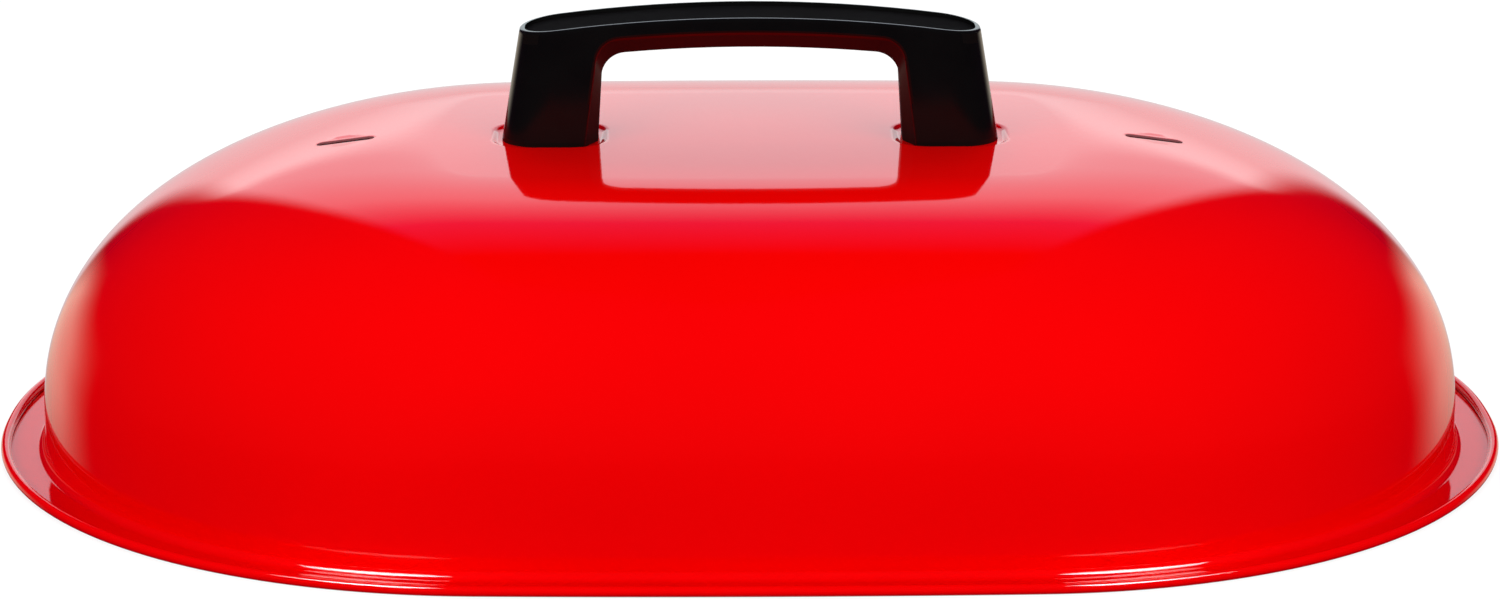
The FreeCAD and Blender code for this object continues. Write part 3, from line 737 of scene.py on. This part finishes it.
def add_floor():
    """Plain floor, white to the camera but for the object's shadow and the room under the lid."""
    bpy.ops.mesh.primitive_plane_add(size=FLOOR_SIZE, location=(0, 0, 0))
    floor = bpy.context.object
    floor.name = "floor"
    floor.visible_glossy = False
    material, tree, shader = new_material("floor")
    tree.put(shader, "Base Color", FLOOR_COLOUR)
    tree.put(shader, "Roughness", FLOOR_ROUGHNESS)
    tree.put(shader, "Specular IOR Level", 0)
    seen = tree.add("AddShader")
    tree.put(seen, 0, tree.add("BsdfDiffuse", Color=FLOOR_SHADE).outputs["BSDF"])
    tree.put(seen, 1, floor_glow(tree))
    rays = tree.add("LightPath").outputs
    shown = tree.mix(rays["Is Camera Ray"], shader.outputs["BSDF"], seen.outputs["Shader"])
    tree.put(tree.nodes["Material Output"], "Surface", shown)
    floor.data.materials.append(material)


WHITE = (1, 1, 1, 1)
FILL = (0.76, 0.76, 0.76, 1)

# What gloss shows, by degrees above the horizon and degrees to either side of straight back: a pale
# backdrop, brightest in a band near 13 degrees, that fades out upwards, and two warm low cards beside
# it, in a dark studio. It isn't what the camera sees. A pair of angles is the start and the end of a
# soft edge. A card's inner edge leans: it lies further aside higher up.
BACKDROP_SIDES = (15, 18.5)
BACKDROP_STRENGTH = 2.0
BACKDROP_FADE = (
    (-20, (0.27, 0.27, 0.27)),
    (8.5, (0.54, 0.58, 0.60)),
    (12.8, (0.78, 0.92, 0.95)),
    (14.4, (0.50, 0.52, 0.57)),
    (29, (0.47, 0.47, 0.55)),
    (42.5, (0.07, 0.05, 0.19)),
    (60, (0.0, 0.0, 0.0)),
)
CARD_COLOUR = (0.95, 0.82, 0.66, 1)
CARD_INNER_SIDE = 26
CARD_INNER = (-4, 4)
CARD_OUTER = (38, 62)
CARD_FOOT = (-26, -9)
CARD_TOP = (-4, 9)
STUDIO_COLOUR = (0.02, 0.0, 0.02, 1)


def background(tree, colour, strength=1.0):
    """Light of one colour, or of a colour that a socket gives."""
    return tree.add("Background", Color=colour, Strength=strength).outputs["Background"]


def backdrop_light(tree, rise):
    """The backdrop's light, which changes with the angle above the horizon."""
    low, high = BACKDROP_FADE[0][0], BACKDROP_FADE[-1][0]
    fade = [((degrees - low) / (high - low), colour) for degrees, colour in BACKDROP_FADE]
    share = tree.maths("DIVIDE", tree.maths("SUBTRACT", rise, low), high - low)
    return background(tree, tree.ramp(share, fade), BACKDROP_STRENGTH)


def card_share(tree, rise, aside):
    """1 on the two cards, 0 elsewhere."""
    from_inner = tree.maths("SUBTRACT", aside, tree.maths("ADD", rise, CARD_INNER_SIDE))
    card = tree.step(from_inner, *CARD_INNER)
    for value, ends in ((aside, CARD_OUTER[::-1]), (rise, CARD_FOOT), (rise, CARD_TOP[::-1])):
        card = tree.maths("MULTIPLY", card, tree.step(value, *ends))
    return card


def add_world():
    """White to the camera, a plain fill to the object's own colours, and the studio to its gloss."""
    world = bpy.data.worlds.new("studio")
    bpy.context.scene.world = world
    world.use_nodes = True
    tree = Nodes(world.node_tree)
    way = tree.add("SeparateXYZ", Vector=tree.add("TexCoord").outputs["Generated"]).outputs
    rise = tree.maths("DEGREES", tree.maths("ARCSINE", way["Z"]))
    aside = tree.maths("DEGREES", tree.maths("ARCTAN2", tree.maths("ABSOLUTE", way["X"]), way["Y"]))

    dark, warm = background(tree, STUDIO_COLOUR), background(tree, CARD_COLOUR)
    beside = tree.mix(card_share(tree, rise, aside), dark, warm)
    studio = tree.mix(tree.step(aside, *BACKDROP_SIDES), backdrop_light(tree, rise), beside)
    rays = tree.add("LightPath").outputs
    unseen = tree.mix(rays["Is Glossy Ray"], background(tree, FILL), studio)
    shown = tree.mix(rays["Is Camera Ray"], unseen, background(tree, WHITE))
    tree.put(tree.nodes["World Output"], "Surface", shown)


# ---------------------------------------------------------------- the scene


def dress_shell():
    """Put the enamelled shell in place of the CAD one."""
    shell = shell_object()
    shell.data.materials.append(enamel_material())
    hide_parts("lid_shell")
    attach(shell, "root")


def dress_solids():
    """Give the handle and the fixings, which stay CAD solids, their materials."""
    dress("handle", handle_material())
    brass, zinc = metal_material("brass", *BRASS), metal_material("zinc_plate", *ZINC)
    for side, _ in SIDES:
        dress("handle_insert_" + side, brass)
        for piece in ("flat_washer_", "lock_washer_", "handle_screw_"):
            dress(piece + side, zinc)


def main():
    bpy.context.scene.view_settings.view_transform = "Standard"
    add_camera()
    add_floor()
    add_world()
    add_keys()
    add_glints()
    add_lamp("back", BACK_PLACE, LAMP_TARGET, LAMP_SIZE, BACK_POWER)
    dress_shell()
    dress_solids()


main()
